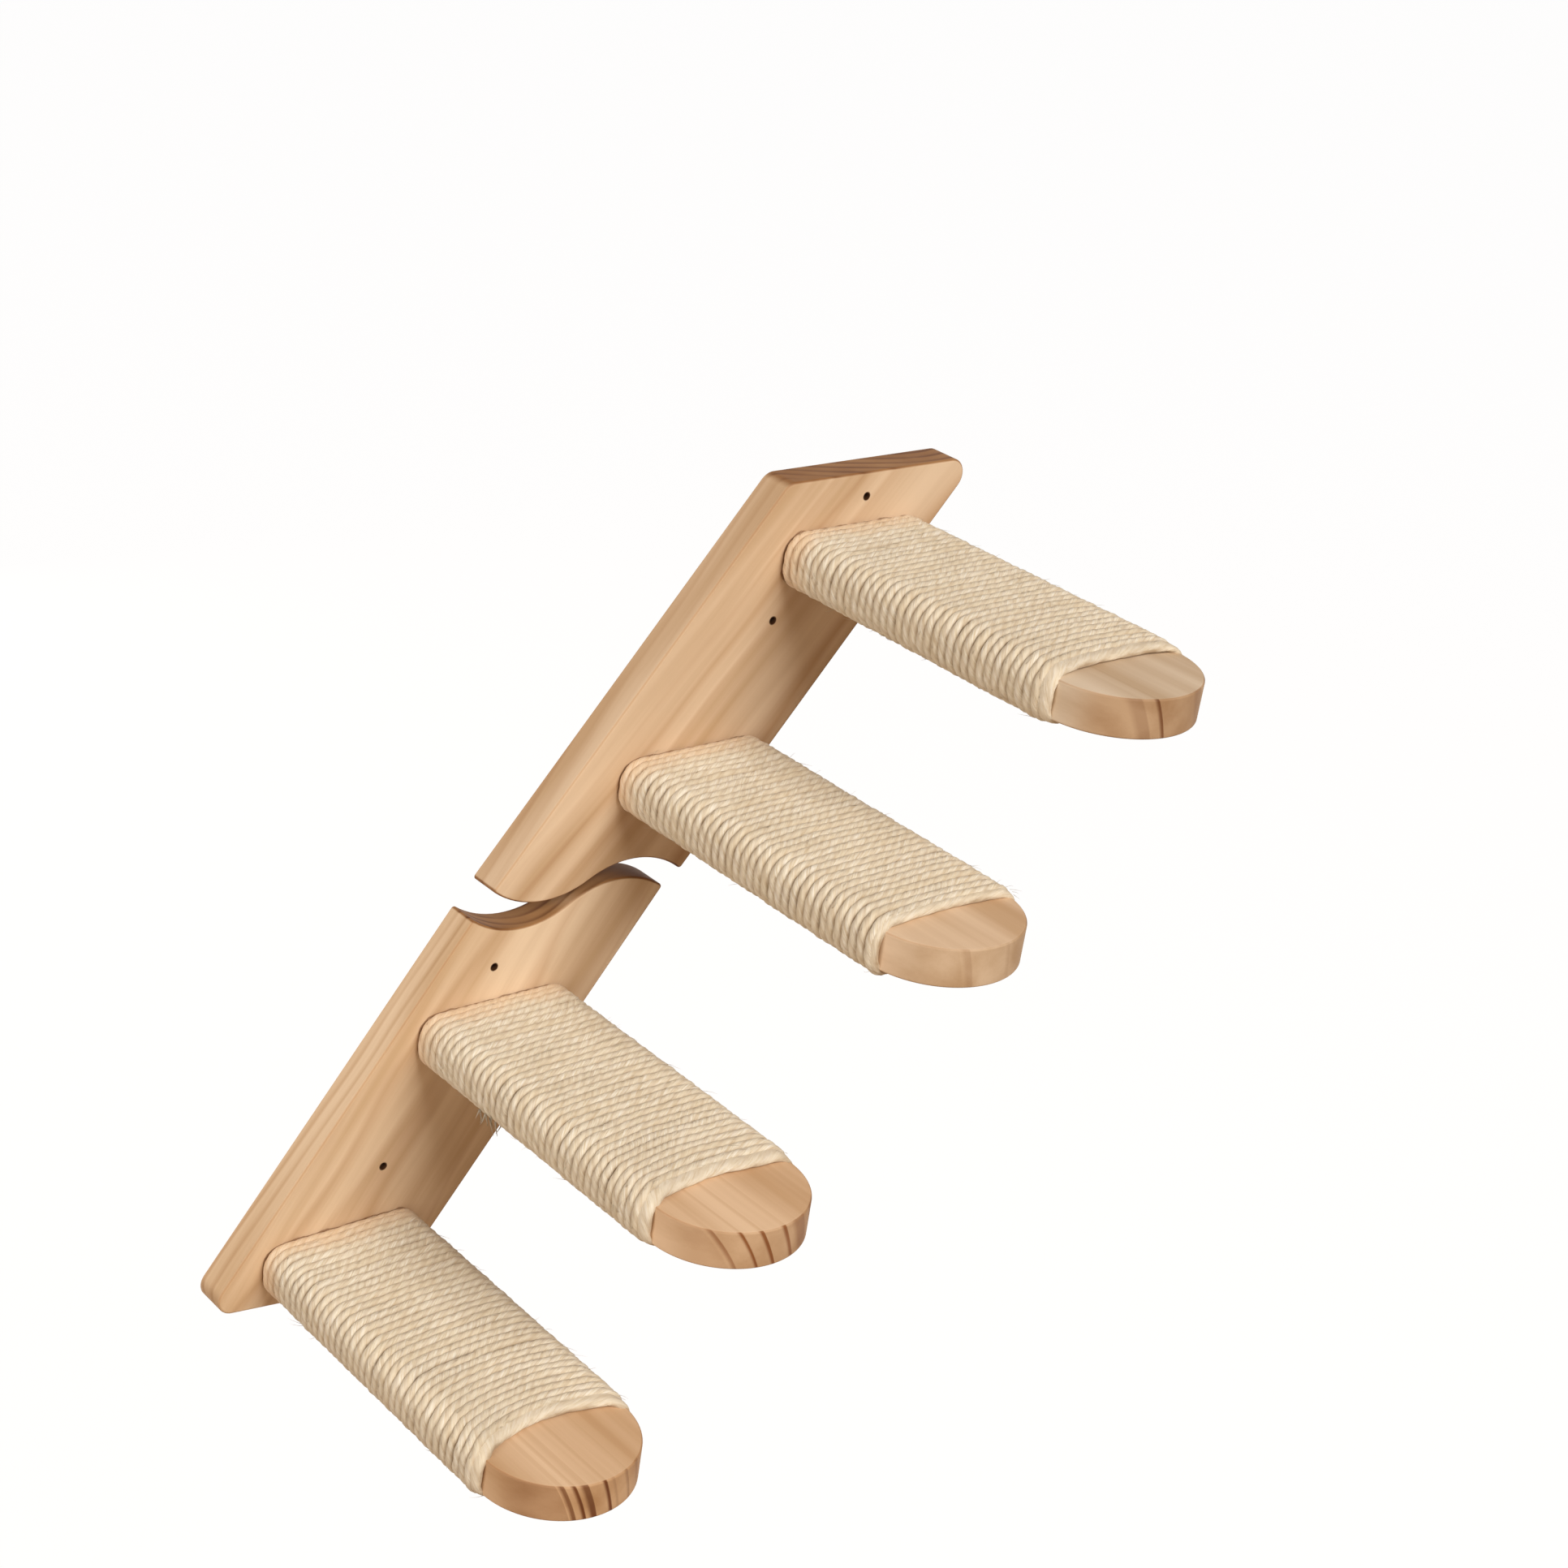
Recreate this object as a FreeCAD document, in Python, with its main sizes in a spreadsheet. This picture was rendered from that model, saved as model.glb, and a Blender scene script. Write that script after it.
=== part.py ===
import FreeCAD, Part
import Sketcher
import math
import os
import re

# Cat climbing wall: two pine wall boards in one slanting line, with four pine steps wound in sisal.
# Millimetres and degrees. X runs along the wall, Y into the wall, Z up.
# The origin is on the wall's surface, at the middle of the lowest screw hole.

# Driving dimensions.
SIZES = {
    # wall boards
    "board_thickness": 20.0,
    "board_width": 110.0,
    "lower_lean_angle": 53.4,
    "upper_lean_angle": 50.6,
    "lower_left_edge": 263.0,
    "upper_left_edge": 273.0,
    "bottom_cut_angle": 60.0,
    "joint_rise": 73.0,
    "joint_gap": 18.8,
    "joint_shift": 0.7,
    "board_corner_radius": 10.0,
    "board_tip_radius": 2.0,
    "board_edge_radius": 1.5,
    # screw holes through the boards, to the right of each board's middle and along it
    "screw_hole_radius": 2.1,
    "bottom_hole_shift": -6.4,
    "bottom_hole_along": 119.7,
    "lower_hole_shift": -21.8,
    "lower_hole_along": 247.0,
    "upper_hole_shift": -3.4,
    "upper_hole_along": 212.5,
    "top_hole_shift": -1.0,
    "top_hole_along": 299.0,
    # where the steps stand, to the right of each board's middle and along it
    "lower_step_shift": 0.8,
    "lower_first_step_along": 66.8,
    "upper_step_shift": 13.0,
    "upper_first_step_along": 118.4,
    "step_spacing": 153.0,
    # step planks
    "plank_thickness": 22.0,
    "plank_width": 90.0,
    "plank_length": 250.0,
    "plank_edge_radius": 3.0,
    "rim_radius": 1.2,
    # bolts, washers and threaded inserts that carry each step
    "bolt_spacing": 50.0,
    "bolt_radius": 3.0,
    "bolt_length": 30.0,
    "head_radius": 5.0,
    "head_height": 6.0,
    "key_radius": 2.9,
    "key_depth": 3.0,
    "washer_radius": 6.0,
    "washer_hole_radius": 3.2,
    "washer_thickness": 1.6,
    "board_bolt_hole_radius": 3.3,
    "counterbore_radius": 7.0,
    "counterbore_depth": 9.0,
    "insert_radius": 5.0,
    "insert_length": 15.0,
    "insert_bore_depth": 20.0,
    "fastener_clearance": 0.05,
    # sisal winding
    "rope_diameter": 5.4,
    "rope_clearance": 0.1,
    "rope_end_clearance": 0.2,
    # flat-headed tacks that hold the rope's two ends, on the underside
    "tack_radius": 0.7,
    "tack_length": 16.0,
    "tack_head_radius": 4.5,
    "tack_head_height": 1.0,
    "tack_from_rope_end": 6.0,
}

# The winding has this many loops, laid at an even pitch over the wound length.
LOOPS = 24
# A bolt, a washer and an insert stand on each side of a step's middle.
SIDES = {"left": -1, "right": 1}
KEY_SIDES = 6
# Two places count as one when they lie closer than this.
MATCH = 0.001

# Sizes that follow from the driving dimensions.
BOTTOM_RUN = "board_width / tan(bottom_cut_angle)"
TOP_RUN = "board_width / tan(upper_lean_angle)"
WOUND_LENGTH = "(plank_length - plank_width / 2)"
SHANK_START = "(counterbore_depth - washer_thickness)"
ROPE_HEIGHT = "(rope_clearance + rope_diameter)"
FIRST_TURN = "(rope_end_clearance + rope_diameter / 2)"
PITCH = f"(({WOUND_LENGTH} - 2 * {FIRST_TURN}) / {LOOPS})"

doc = FreeCAD.newDocument("cat_climbing_wall")
sheet = doc.addObject("Spreadsheet::Sheet", "Sizes")
for row, alias in enumerate(SIZES, start=1):
    sheet.set(f"A{row}", alias)
    sheet.set(f"B{row}", str(SIZES[alias]))
    sheet.setAlias(f"B{row}", alias)
doc.recompute()


def on_sheet(expression):
    """The expression with each alias written as a cell of the sheet."""
    return re.sub("[a-z_]+", lambda word: "Sizes." * (word[0] in SIZES) + word[0], expression)


def value(expression):
    """The number that an expression of the sheet comes to."""
    return float(sheet.evalExpression(on_sheet(expression)))


def bind(thing, prop, expression):
    thing.setExpression(prop, on_sheet(expression))


def on_board(origin, lean, across, along):
    """Expressions for the X and Z of a point that lies across and along a board."""
    x, z = origin
    return (
        f"({x} + ({across}) * sin({lean}) + ({along}) * cos({lean}))",
        f"({z} - ({across}) * cos({lean}) + ({along}) * sin({lean}))",
    )


def across(shift):
    """How far across a board something lies that is shifted from the board's middle."""
    return f"(board_width / 2 + {shift})"


LOWER_ORIGIN = on_board(("0", "0"), "lower_lean_angle", f"-{across('bottom_hole_shift')}",
                        "-bottom_hole_along")
UPPER_ORIGIN = on_board(LOWER_ORIGIN, "lower_lean_angle", "joint_shift", "lower_left_edge + joint_gap")


def new_body(label, origin, depth="0"):
    """A body whose own origin lies at an X and Z, and so deep in front of the wall."""
    body = doc.addObject("PartDesign::Body", label)
    body.Label = label
    bind(body, "Placement.Base.x", origin[0])
    bind(body, "Placement.Base.y", f"-({depth})")
    bind(body, "Placement.Base.z", origin[1])
    return body


def new_sketch(body, name, role, lift=None):
    """A sketch on one of the body's own planes, lifted along its normal."""
    sketch = body.newObject("Sketcher::SketchObject", f"{body.Label}_{name}")
    plane = [part for part in body.Origin.OriginFeatures if part.Role == role][0]
    sketch.AttachmentSupport = [(plane, "")]
    sketch.MapMode = "FlatFace"
    if lift:
        bind(sketch, "AttachmentOffset.Base.z", lift)
    return sketch


def point(x, y):
    return FreeCAD.Vector(x, y, 0)


def line(sketch, start, end):
    return sketch.addGeometry(Part.LineSegment(start, end), False)


def arc(sketch, centre, radius, start_angle, end_angle):
    whole = Part.Circle(centre, FreeCAD.Vector(0, 0, 1), radius)
    bow = Part.ArcOfCircle(whole, math.radians(start_angle), math.radians(end_angle))
    return sketch.addGeometry(bow, False)


def rule(sketch, kind, *where):
    """A constraint without a size."""
    sketch.addConstraint(Sketcher.Constraint(kind, *where))


def drive(sketch, name, expression, kind, *where):
    """A constraint whose size is an expression of the sheet."""
    index = sketch.addConstraint(Sketcher.Constraint(kind, *where, value(expression)))
    sketch.renameConstraint(index, name)
    bind(sketch, f"Constraints.{name}", expression)


def centre_on(sketch, name, ring, across, along):
    """Fix a round shape's centre; one that is not along lies on the sketch's own X axis."""
    drive(sketch, f"{name}_across", across, "DistanceX", -1, 1, ring, 3)
    if along:
        drive(sketch, f"{name}_along", along, "DistanceY", -1, 1, ring, 3)
    else:
        rule(sketch, "PointOnObject", ring, 3, -1)


def circle(sketch, name, radius, across, along=None):
    centre = point(value(across), value(along or "0"))
    whole = Part.Circle(centre, FreeCAD.Vector(0, 0, 1), value(radius))
    ring = sketch.addGeometry(whole, False)
    drive(sketch, f"{name}_radius", radius, "Radius", ring)
    centre_on(sketch, name, ring, across, along)


def bolt_pair(sketch, name, radius):
    """A circle for each of the two bolts of a step."""
    for side, sign in SIDES.items():
        circle(sketch, f"{name}_{side}", radius, f"{sign} * bolt_spacing / 2")


def key_hexagon(sketch, name, across):
    """A regular hexagon for a hex key, its corners on a construction circle."""
    centre = point(value(across), 0)
    radius = value("key_radius")
    ring = sketch.addGeometry(Part.Circle(centre, FreeCAD.Vector(0, 0, 1), radius), True)
    drive(sketch, f"{name}_radius", "key_radius", "Radius", ring)
    centre_on(sketch, name, ring, across, None)
    turns = [math.tau * i / KEY_SIDES for i in range(KEY_SIDES + 1)]
    corners = [centre + point(radius * math.cos(turn), radius * math.sin(turn)) for turn in turns]
    edges = [line(sketch, start, end) for start, end in zip(corners, corners[1:])]
    for edge, follower in zip(edges, edges[1:] + edges[:1]):
        rule(sketch, "Coincident", edge, 2, follower, 1)
        rule(sketch, "PointOnObject", edge, 1, ring)
    for edge in edges[1:]:
        rule(sketch, "Equal", edges[0], edge)
    rule(sketch, "Horizontal", edges[1])


def pad(body, name, sketch, length):
    solid = body.newObject("PartDesign::Pad", f"{body.Label}_{name}")
    solid.Profile = sketch
    bind(solid, "Length", length)
    doc.recompute()


def pocket(body, name, sketch, length=None):
    """Cut along the sketch's normal, to a depth or right through."""
    before = body.Shape.Volume
    cut = body.newObject("PartDesign::Pocket", f"{body.Label}_{name}")
    cut.Profile = sketch
    cut.Reversed = True
    if length:
        bind(cut, "Length", length)
    else:
        cut.Type = "ThroughAll"
    doc.recompute()
    if body.Shape.Volume >= before:
        raise ValueError(f"{cut.Name} cuts nothing")


def round_edges(body, name, radius, wanted):
    """Round those edges of the body's last feature that the test picks."""
    base = body.Tip
    edges = enumerate(base.Shape.Edges, start=1)
    fillet = body.newObject("PartDesign::Fillet", f"{body.Label}_{name}")
    fillet.Base = (base, [f"Edge{i}" for i, edge in edges if wanted(edge)])
    bind(fillet, "Radius", radius)
    doc.recompute()


def board_outline(sketch, left_edge, cut_run, curve_is_top):
    """A board's outline: one end is the S-curve, the other a straight cut that rises to the right."""
    width = value("board_width")
    rise = value("joint_rise")
    turn = 2 * math.degrees(math.atan2(rise, width))
    radius = width / 2 / math.sin(math.radians(turn))
    curve = value(left_edge) if curve_is_top else 0
    cut = 0 if curve_is_top else value(left_edge)
    right_cut = point(width, cut + value(cut_run))
    left = line(sketch, point(0, cut), point(0, curve))
    dip = arc(sketch, point(0, curve + radius), radius, -90, turn - 90)
    crest = arc(sketch, point(width, curve + rise - radius), radius, 90, turn + 90)
    right = line(sketch, point(width, curve + rise), right_cut)
    end = line(sketch, right_cut, point(0, cut))
    rule(sketch, "Coincident", left, 2, dip, 1)
    rule(sketch, "Tangent", dip, 2, crest, 2)
    rule(sketch, "Coincident", crest, 1, right, 1)
    rule(sketch, "Coincident", right, 2, end, 1)
    rule(sketch, "Coincident", end, 2, left, 1)
    rule(sketch, "Vertical", left)
    rule(sketch, "Vertical", right)
    rule(sketch, "Vertical", dip, 1, dip, 3)
    rule(sketch, "Vertical", crest, 1, crest, 3)
    rule(sketch, "Equal", dip, crest)
    low, high = (1, 2) if curve_is_top else (2, 1)
    rule(sketch, "Coincident", left, low, -1, 1)
    drive(sketch, "left_edge", left_edge, "DistanceY", left, low, left, high)
    drive(sketch, "width", "board_width", "DistanceX", left, 2, right, 1)
    drive(sketch, "rise", "joint_rise", "DistanceY", left, 2, right, 1)
    drive(sketch, "cut_run", cut_run, "DistanceY", left, 1, right, 2)


def make_board(label, origin, lean, left_edge, cut_run, curve_is_top, screw_holes, steps):
    """A wall board, with its screw holes and, from the back, the bolt holes of its steps."""
    body = new_body(label, origin)
    body.Placement.Rotation = FreeCAD.Rotation(FreeCAD.Vector(0, 1, 0), 1)
    bind(body, "Placement.Rotation.Angle", f"(90 - {lean}) * 1 deg")
    sketch = new_sketch(body, "outline", "XZ_Plane")
    board_outline(sketch, left_edge, cut_run, curve_is_top)
    pad(body, "plate", sketch, "board_thickness")
    curve, cut = (value(left_edge), 0) if curve_is_top else (0, value(left_edge))
    corners = ((0, cut), (value("board_width"), cut + value(cut_run)))
    tips = ((0, curve), (value("board_width"), curve + value("joint_rise")))

    def stands_at(edge, spots):
        """Whether an edge runs square to the wall at one of those places."""
        return any(all(math.dist((v.X, v.Z), spot) < MATCH for v in edge.Vertexes) for spot in spots)

    def is_front(edge):
        return all(abs(v.Y + value("board_thickness")) < MATCH for v in edge.Vertexes)

    round_edges(body, "corners", "board_corner_radius", lambda edge: stands_at(edge, corners))
    round_edges(body, "tips", "board_tip_radius", lambda edge: stands_at(edge, tips))
    round_edges(body, "front_edges", "board_edge_radius", is_front)
    sketch = new_sketch(body, "screw_holes", "XZ_Plane")
    for hole in screw_holes:
        circle(sketch, hole, "screw_hole_radius", across(f"{hole}_shift"), f"{hole}_along")
    pocket(body, "screw_hole_cut", sketch)
    for name, radius, depth in (
        ("bolt_holes", "board_bolt_hole_radius", None),
        ("counterbores", "counterbore_radius", "counterbore_depth"),
    ):
        sketch = new_sketch(body, name, "XZ_Plane")
        for step, (right, along) in enumerate(steps, start=1):
            for side, sign in SIDES.items():
                offset = f"{sign} * bolt_spacing / 2"
                place = (f"{right} + {offset} * sin({lean})", f"{along} + {offset} * cos({lean})")
                circle(sketch, f"step_{step}_{side}", radius, *place)
        pocket(body, f"{name}_cut", sketch, depth)
    return body


def rounded_rectangle(sketch):
    """The plank's section across its length, with rounded corners, about the sketch's origin."""
    corner = value("plank_edge_radius")
    half_width = value("plank_width / 2 - plank_edge_radius")
    half_height = value("plank_thickness / 2 - plank_edge_radius")
    corners = ((1, 1), (-1, 1), (-1, -1), (1, -1))
    centres = [point(x * half_width, y * half_height) for x, y in corners]
    arcs = [arc(sketch, spot, corner, 90 * i, 90 * i + 90) for i, spot in enumerate(centres)]
    sides = []
    for i, (start, end) in enumerate(zip(centres, centres[1:] + centres[:1])):
        across, up = corners[i]
        out = point(0, up * corner) if i % 2 == 0 else point(across * corner, 0)
        sides.append(line(sketch, start + out, end + out))
    for i, side in enumerate(sides):
        rule(sketch, "Tangent", arcs[i], 2, side, 1)
        rule(sketch, "Tangent", side, 2, arcs[(i + 1) % len(arcs)], 1)
        rule(sketch, "Vertical" if i % 2 else "Horizontal", side)
    for follower in arcs[1:-1]:
        rule(sketch, "Equal", arcs[0], follower)
    drive(sketch, "corner", "plank_edge_radius", "Radius", arcs[0])
    drive(sketch, "top", "plank_thickness / 2", "DistanceY", -1, 1, sides[0], 1)
    drive(sketch, "bottom", "plank_thickness / 2", "DistanceY", sides[2], 1, -1, 1)
    drive(sketch, "left", "plank_width / 2", "DistanceX", sides[1], 1, -1, 1)
    drive(sketch, "right", "plank_width / 2", "DistanceX", -1, 1, sides[3], 1)


def tack_places(sketch, name, radius):
    """A circle for each of the two tacks, between the end turn of the rope and the one beside it."""
    first = f"-({FIRST_TURN} + {PITCH} / 2)"
    last = f"-({WOUND_LENGTH} - {FIRST_TURN} - {PITCH} / 2)"
    circle(sketch, f"{name}_first", radius, "tack_from_rope_end", first)
    circle(sketch, f"{name}_last", radius, "-tack_from_rope_end", last)


def make_plank(label, place):
    """A step's plank: a half-round front end, and the straight length that the rope covers."""
    body = new_body(label, place, "board_thickness")
    radius = value("plank_width / 2")
    middle = point(0, -value(WOUND_LENGTH))
    sketch = new_sketch(body, "round_end", "XY_Plane", "-plank_thickness / 2")
    bow = arc(sketch, middle, radius, 180, 360)
    back = line(sketch, middle + point(radius, 0), middle - point(radius, 0))
    rule(sketch, "Coincident", bow, 2, back, 1)
    rule(sketch, "Coincident", back, 2, bow, 1)
    rule(sketch, "PointOnObject", bow, 3, back)
    rule(sketch, "Horizontal", back)
    rule(sketch, "PointOnObject", bow, 3, -2)
    drive(sketch, "radius", "plank_width / 2", "Radius", bow)
    drive(sketch, "reach", f"-{WOUND_LENGTH}", "DistanceY", -1, 1, bow, 3)
    pad(body, "round_end_pad", sketch, "plank_thickness")
    round_edges(body, "rim", "rim_radius", lambda edge: isinstance(edge.Curve, Part.Circle))
    sketch = new_sketch(body, "section", "XZ_Plane")
    rounded_rectangle(sketch)
    pad(body, "wound_length", sketch, WOUND_LENGTH)
    sketch = new_sketch(body, "insert_bores", "XZ_Plane")
    bolt_pair(sketch, "bore", "insert_radius + fastener_clearance")
    pocket(body, "insert_bore_cut", sketch, "insert_bore_depth")
    sketch = new_sketch(body, "tack_holes", "XY_Plane", "-plank_thickness / 2")
    tack_places(sketch, "hole", "tack_radius + fastener_clearance")
    pocket(body, "tack_hole_cut", sketch, f"tack_length - {ROPE_HEIGHT} + fastener_clearance")
    return body


def make_bolts(label, place):
    """Two socket-head bolts, put in from the back of the board."""
    body = new_body(label, place, f"{SHANK_START} - head_height")
    sketch = new_sketch(body, "heads", "XZ_Plane")
    bolt_pair(sketch, "head", "head_radius")
    pad(body, "head_pad", sketch, "head_height")
    sketch = new_sketch(body, "keys", "XZ_Plane")
    for side, sign in SIDES.items():
        key_hexagon(sketch, side, f"{sign} * bolt_spacing / 2")
    pocket(body, "key_cut", sketch, "key_depth")
    sketch = new_sketch(body, "shanks", "XZ_Plane", "head_height")
    bolt_pair(sketch, "shank", "bolt_radius")
    pad(body, "shank_pad", sketch, "bolt_length")
    return body


def make_washers(label, place):
    """A washer under each bolt head, on the floor of its counterbore."""
    body = new_body(label, place, SHANK_START)
    sketch = new_sketch(body, "rings", "XZ_Plane")
    bolt_pair(sketch, "outside", "washer_radius")
    bolt_pair(sketch, "hole", "washer_hole_radius")
    pad(body, "ring_pad", sketch, "washer_thickness")
    return body


def make_inserts(label, place):
    """Two threaded inserts in the plank's end, level with it."""
    body = new_body(label, place, "board_thickness")
    sketch = new_sketch(body, "sleeves", "XZ_Plane")
    bolt_pair(sketch, "outside", "insert_radius")
    bolt_pair(sketch, "bore", "bolt_radius + fastener_clearance")
    pad(body, "sleeve_pad", sketch, "insert_length")
    return body


def make_tacks(label, place):
    """Two tacks whose flat heads lie on the rope near its ends."""
    body = new_body(label, place, "board_thickness")
    sketch = new_sketch(body, "shanks", "XY_Plane", f"-(plank_thickness / 2 + {ROPE_HEIGHT})")
    tack_places(sketch, "shank", "tack_radius")
    pad(body, "shank_pad", sketch, "tack_length")
    under = f"-(plank_thickness / 2 + {ROPE_HEIGHT} + tack_head_height)"
    sketch = new_sketch(body, "heads", "XY_Plane", under)
    tack_places(sketch, "head", "tack_head_radius")
    pad(body, "head_pad", sketch, "tack_head_height")
    return body


def bend(start, start_way, end, end_way):
    """Two arcs that leave one straight run and join the next without a kink."""
    span = end - start
    both = start_way + end_way
    spread = 2 * (1 - start_way.dot(end_way))
    reach = (math.sqrt(span.dot(both) ** 2 + spread * span.dot(span)) - span.dot(both)) / spread
    corners = (start + start_way * reach, end - end_way * reach)
    middle = (corners[0] + corners[1]) * 0.5
    arcs = []
    for first, corner, last in ((start, corners[0], middle), (middle, corners[1], end)):
        chord_middle = (first + last) * 0.5
        rise = corner - chord_middle
        radius = first.distanceToPoint(chord_middle) * reach / rise.Length
        bulge = radius * (1 - first.distanceToPoint(chord_middle) / reach)
        arcs.append(Part.Arc(first, chord_middle + rise.normalize() * bulge, last).toShape())
    return arcs


def rope_edges():
    """The rope's middle line: straight on each face of the plank, bent round each of its edges."""
    offset = value("rope_clearance + rope_diameter / 2")
    turn_radius = value("plank_edge_radius") + offset
    half_width = value("plank_width / 2 - plank_edge_radius")
    half_height = value("plank_thickness / 2 - plank_edge_radius")
    outside = half_height + turn_radius
    beside = half_width + turn_radius
    corner_run = math.pi / 2 * turn_radius
    around = 4 * (half_width + half_height + corner_run)
    advance = value(PITCH) / around
    # One turn, from the middle of the underside: where each straight run starts and ends.
    faces = (
        ((0, -outside), (half_width, -outside)),
        ((beside, -half_height), (beside, half_height)),
        ((half_width, outside), (-half_width, outside)),
        ((-beside, half_height), (-beside, -half_height)),
        ((-half_width, -outside), (0, -outside)),
    )
    edges = []
    along = -value(FIRST_TURN)
    last_end = None
    for _ in range(LOOPS):
        for face, ((x0, z0), (x1, z1)) in enumerate(faces):
            run = math.dist((x0, z0), (x1, z1))
            if face:
                along -= corner_run * advance
            start = FreeCAD.Vector(x0, along, z0)
            along -= run * advance
            end = FreeCAD.Vector(x1, along, z1)
            way = (end - start).normalize()
            if face:
                edges += bend(last_end, last_way, start, way)
            edges.append(Part.LineSegment(start, end).toShape())
            last_end, last_way = end, way
    return edges


def least_gap(edges, samples=6):
    """The least gap of the rope to itself, over points on turns that follow each other."""
    per_turn = len(edges) // LOOPS
    points = []
    for edge in edges:
        low, high = edge.ParameterRange
        points.append([edge.valueAt(low + (high - low) * i / samples) for i in range(samples)])
    nearest = min(
        spot.distanceToPoint(other)
        for i, row_of_spots in enumerate(points)
        for near in points[i + per_turn // 2: i + per_turn + per_turn // 2]
        for spot in row_of_spots
        for other in near
    )
    return nearest - value("rope_diameter")


def make_sisal(label, place):
    """One unbroken length of rope wound round the plank, its two ends on the underside."""
    edges = rope_edges()
    path = Part.Wire(edges)
    start = edges[0].valueAt(edges[0].FirstParameter)
    way = edges[0].tangentAt(edges[0].FirstParameter)
    section = Part.Wire(Part.Circle(start, way, value("rope_diameter") / 2).toShape())
    sisal = doc.addObject("Part::Feature", label)
    sisal.Label = label
    sisal.Shape = path.makePipeShell([section], True, False)
    bind(sisal, "Placement.Base.x", place[0])
    bind(sisal, "Placement.Base.y", "-board_thickness")
    bind(sisal, "Placement.Base.z", place[1])
    expected = path.Length * math.pi * (value("rope_diameter") / 2) ** 2
    print(f"{label}: {path.Length:.1f} mm of rope, gap to itself {least_gap(edges):.2f} mm,",
          f"volume {sisal.Shape.Volume / expected:.4f} of section times length")
    return sisal


def step_places(shift, first_along):
    return ((across(shift), first_along), (across(shift), f"{first_along} + step_spacing"))


LOWER_STEPS = step_places("lower_step_shift", "lower_first_step_along")
UPPER_STEPS = step_places("upper_step_shift", "upper_first_step_along")

nodes = [
    make_board("lower_board", LOWER_ORIGIN, "lower_lean_angle", "lower_left_edge", BOTTOM_RUN, True,
               ("bottom_hole", "lower_hole"), LOWER_STEPS),
    make_board("upper_board", UPPER_ORIGIN, "upper_lean_angle", "upper_left_edge", TOP_RUN, False,
               ("upper_hole", "top_hole"), UPPER_STEPS),
]
roots = [on_board(LOWER_ORIGIN, "lower_lean_angle", *place) for place in LOWER_STEPS]
roots += [on_board(UPPER_ORIGIN, "upper_lean_angle", *place) for place in UPPER_STEPS]
for number, root in enumerate(roots, start=1):
    nodes += [
        make_plank(f"step_{number}_plank", root),
        make_sisal(f"step_{number}_sisal", root),
        make_bolts(f"step_{number}_bolts", root),
        make_washers(f"step_{number}_washers", root),
        make_inserts(f"step_{number}_inserts", root),
        make_tacks(f"step_{number}_tacks", root),
    ]

doc.recompute()
for thing in doc.Objects:
    if "Invalid" in thing.State or "Error" in thing.State:
        raise ValueError(f"{thing.Label} could not be made: {thing.State}")
for node in nodes:
    if node.Shape.isNull() or not node.Shape.isValid():
        raise ValueError(f"{node.Label} has no valid shape")

os.makedirs("parts", exist_ok=True)
for node in nodes:
    node.Shape.exportStep(f"parts/{node.Label}.step")
    print(node.Label, len(node.Shape.Solids), round(node.Shape.Volume))
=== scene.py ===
import math
import random

import bmesh
import bpy
from mathutils import Euler, Matrix, Vector, noise


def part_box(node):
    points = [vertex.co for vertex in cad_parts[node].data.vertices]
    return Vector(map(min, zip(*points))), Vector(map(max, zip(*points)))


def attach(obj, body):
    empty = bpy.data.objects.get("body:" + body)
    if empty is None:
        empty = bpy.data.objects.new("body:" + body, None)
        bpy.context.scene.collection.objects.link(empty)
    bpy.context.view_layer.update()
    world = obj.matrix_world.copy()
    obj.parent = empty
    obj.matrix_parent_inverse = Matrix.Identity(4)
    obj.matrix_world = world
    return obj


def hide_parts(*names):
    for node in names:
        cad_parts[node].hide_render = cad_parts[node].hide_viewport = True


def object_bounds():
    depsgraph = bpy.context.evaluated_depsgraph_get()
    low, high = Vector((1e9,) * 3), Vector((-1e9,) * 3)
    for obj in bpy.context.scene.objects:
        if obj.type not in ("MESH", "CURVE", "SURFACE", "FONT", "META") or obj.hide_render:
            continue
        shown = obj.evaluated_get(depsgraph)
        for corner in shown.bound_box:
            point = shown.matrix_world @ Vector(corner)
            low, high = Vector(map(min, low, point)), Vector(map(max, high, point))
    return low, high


# Cat climbing wall: two slanting pine wall boards that carry four pine steps wound in sisal rope.
# Metres, in the frame of the construction: X along the wall, Y into the wall, Z up.

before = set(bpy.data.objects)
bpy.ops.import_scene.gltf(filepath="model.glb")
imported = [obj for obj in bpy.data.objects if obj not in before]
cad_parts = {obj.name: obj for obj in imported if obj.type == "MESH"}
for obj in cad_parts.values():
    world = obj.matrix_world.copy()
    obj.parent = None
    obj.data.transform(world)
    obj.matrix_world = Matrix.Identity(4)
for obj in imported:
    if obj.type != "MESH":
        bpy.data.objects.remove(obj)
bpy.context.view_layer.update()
MM = 0.001
UP = Vector((0, 0, 1))

# Wall boards: two lengths of planed pine, 20 mm thick, sawn to an S where they meet.
# Flat-sawn, so the growth rings run out as long honey streaks on the face.
# Raw wood with its front edges sanded round; each is screwed to the wall by itself.


def linear(hex_colour):
    """An sRGB hex colour as the linear colour that a shader takes."""
    parts = [int(hex_colour[i:i + 2], 16) / 255 for i in (1, 3, 5)]
    return tuple(p / 12.92 if p <= 0.04045 else ((p + 0.055) / 1.055) ** 2.4 for p in parts) + (1,)


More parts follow.
